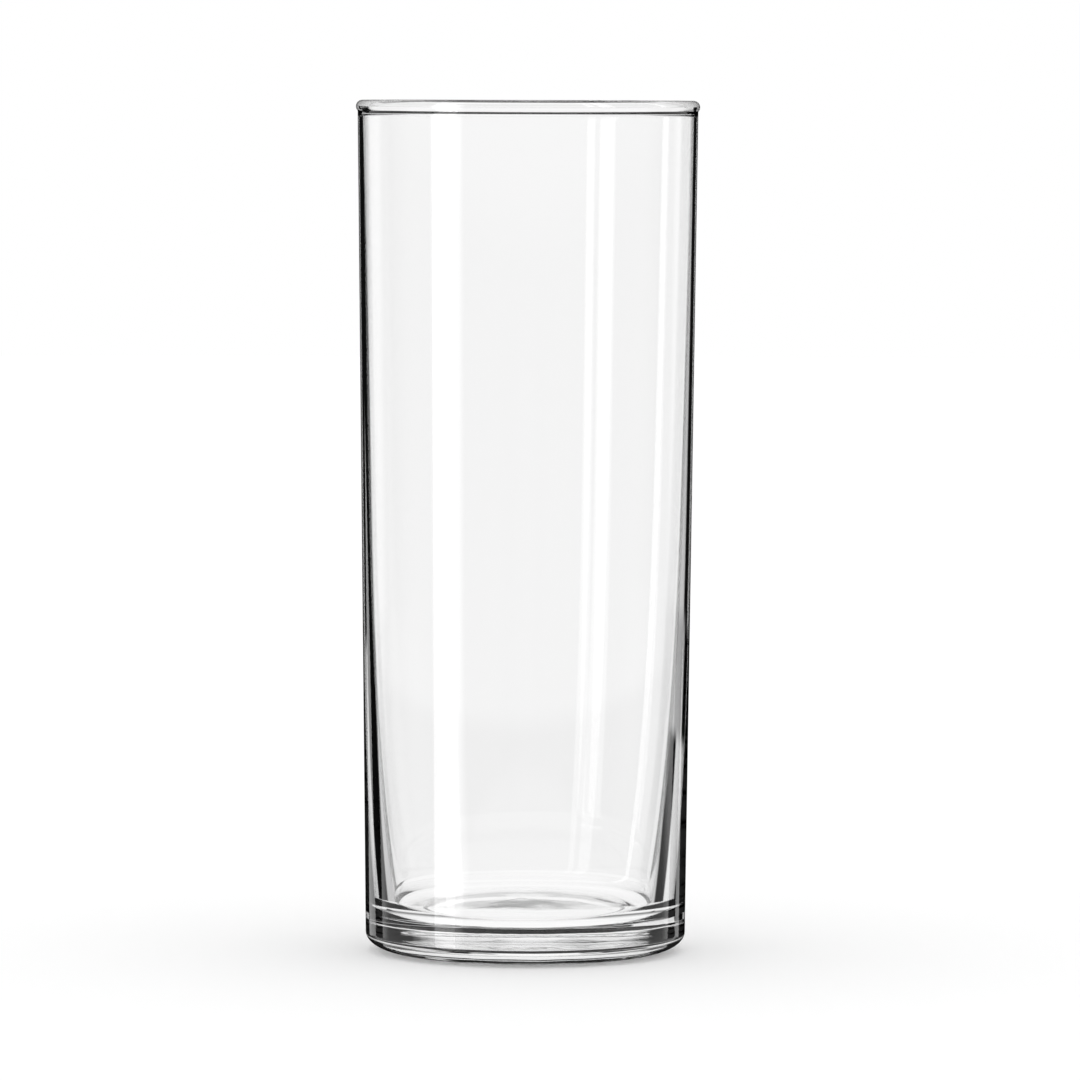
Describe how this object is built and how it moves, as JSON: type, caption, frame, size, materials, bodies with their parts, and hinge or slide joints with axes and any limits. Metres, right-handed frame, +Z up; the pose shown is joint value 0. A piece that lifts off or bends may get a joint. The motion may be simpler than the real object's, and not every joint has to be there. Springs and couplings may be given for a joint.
{
  "type": "zombie glass",
  "caption": "Tall, nearly straight tumbler of clear glass with a beaded rim, a wall that thickens downwards and a thick flat base.",
  "frame": {"origin": "on the axis, at the level of the face that the glass stands on", "axes": "+Z up along the axis, out of the mouth; +X and +Y are alike, because the glass is round"},
  "size_m": [0.0644, 0.0644, 0.16],
  "materials": {
    "clear_glass": "clear colourless soda-lime glass, smooth and fire-polished"
  },
  "bodies": {
    "root": {"rim_bead": "clear_glass", "side_wall": "clear_glass", "base_floor": "clear_glass", "bearing_ring": "clear_glass"}
  },
  "joints": []
}
